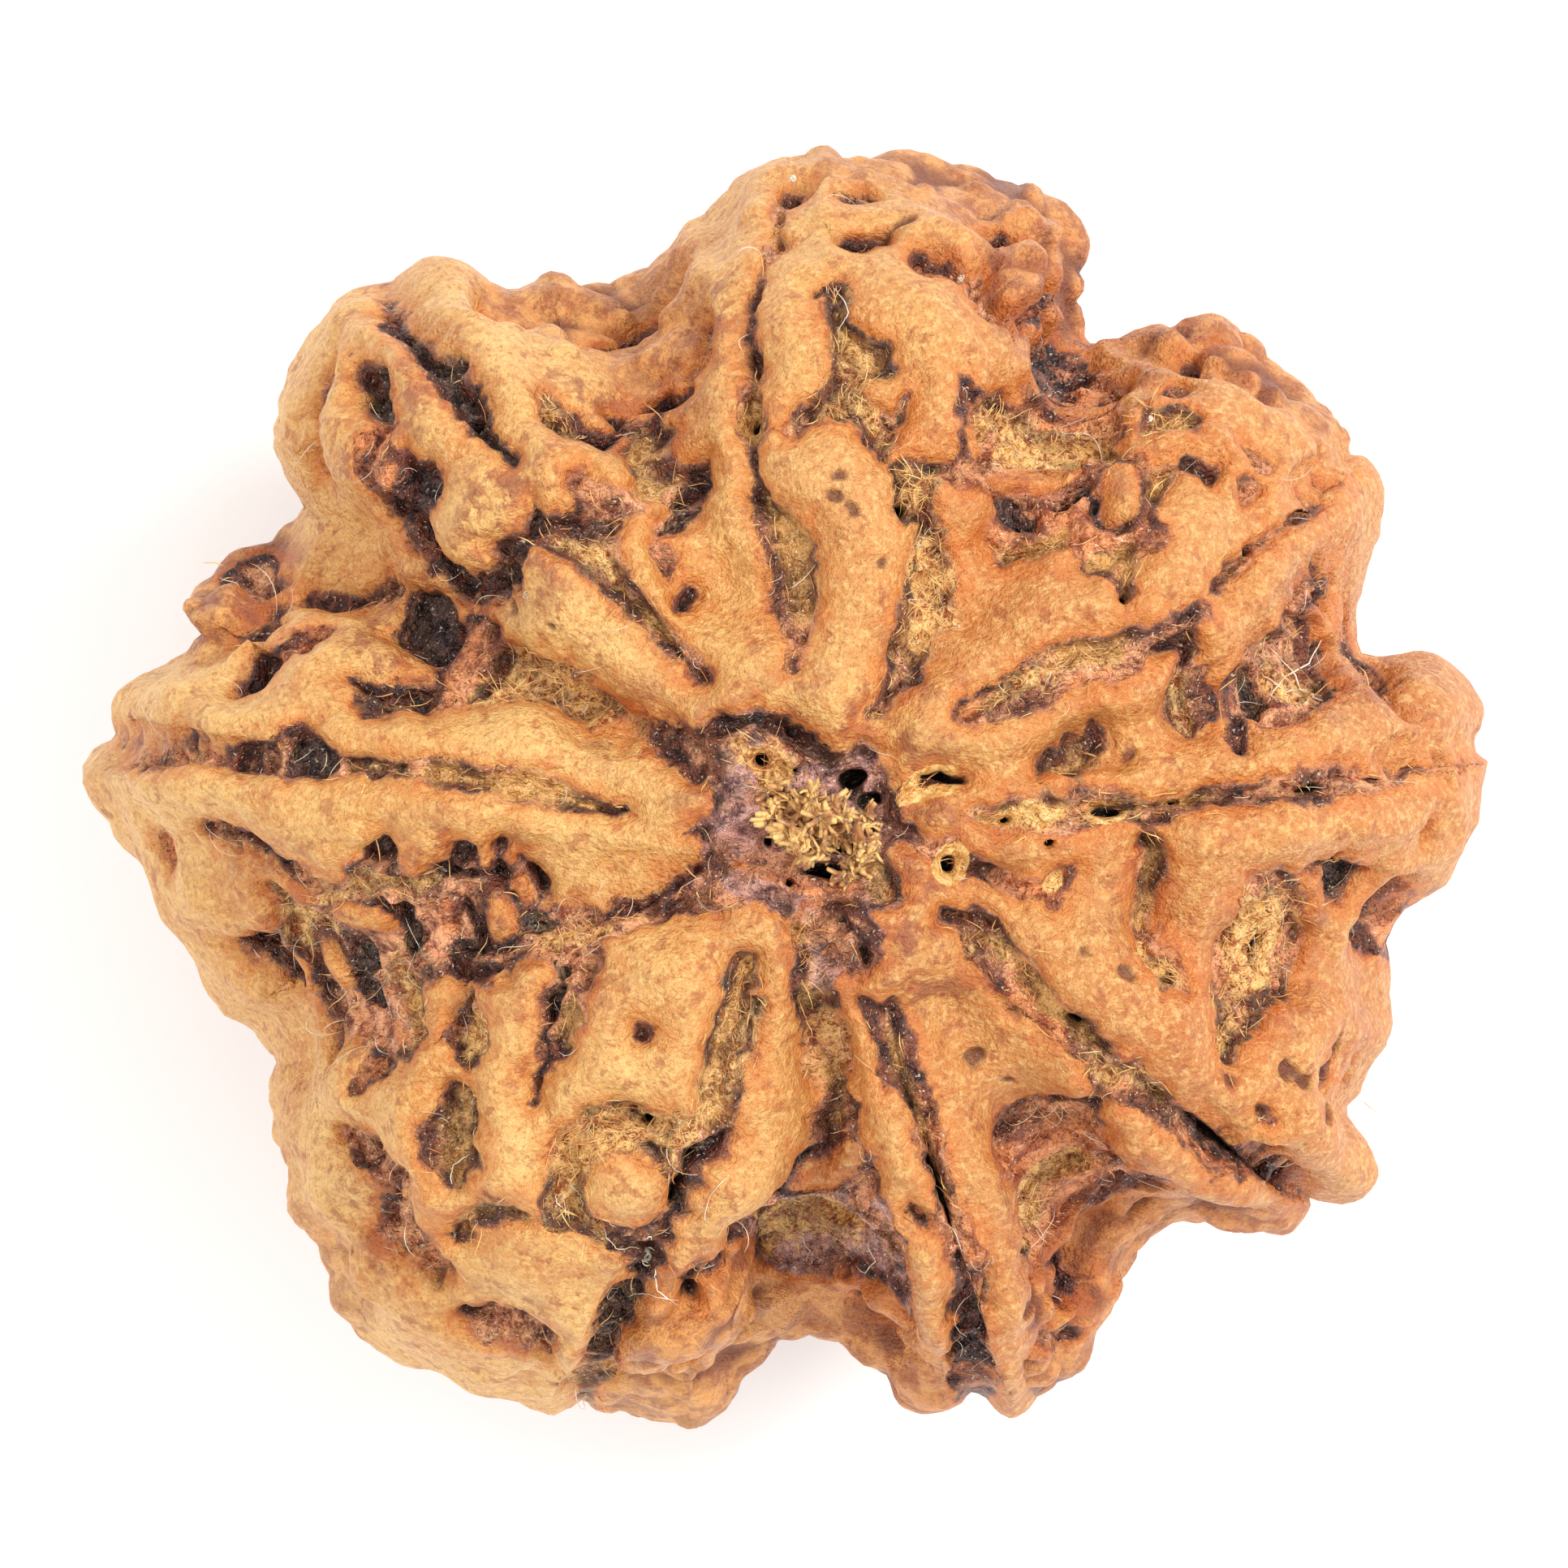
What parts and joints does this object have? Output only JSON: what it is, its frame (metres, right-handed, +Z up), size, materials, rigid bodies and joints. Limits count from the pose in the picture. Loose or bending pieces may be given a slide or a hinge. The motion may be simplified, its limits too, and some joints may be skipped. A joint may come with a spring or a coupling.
{
  "type": "rudraksha seed",
  "caption": "Lobed, knobbly seed stone, slightly flattened from pole to pole, with a line along each lobe, deep pitted valleys and a fibre-filled hollow at the top pole.",
  "frame": {"origin": "under the middle of the seed, on the surface it rests on", "axes": "+Z up through the top pole, the one with the fibre-filled hollow; X along the widest way, from the lobe at the picture's left to the lobe at its right; Y up the picture"},
  "size_m": [0.028, 0.0252, 0.0208],
  "materials": {
    "seed_shell": "dry, finely grained orange-brown shell with darker red-brown and purple pits, olive and golden fibre in the lines"
  },
  "bodies": {
    "root": {"rudraksha_seed": "seed_shell"}
  },
  "joints": []
}
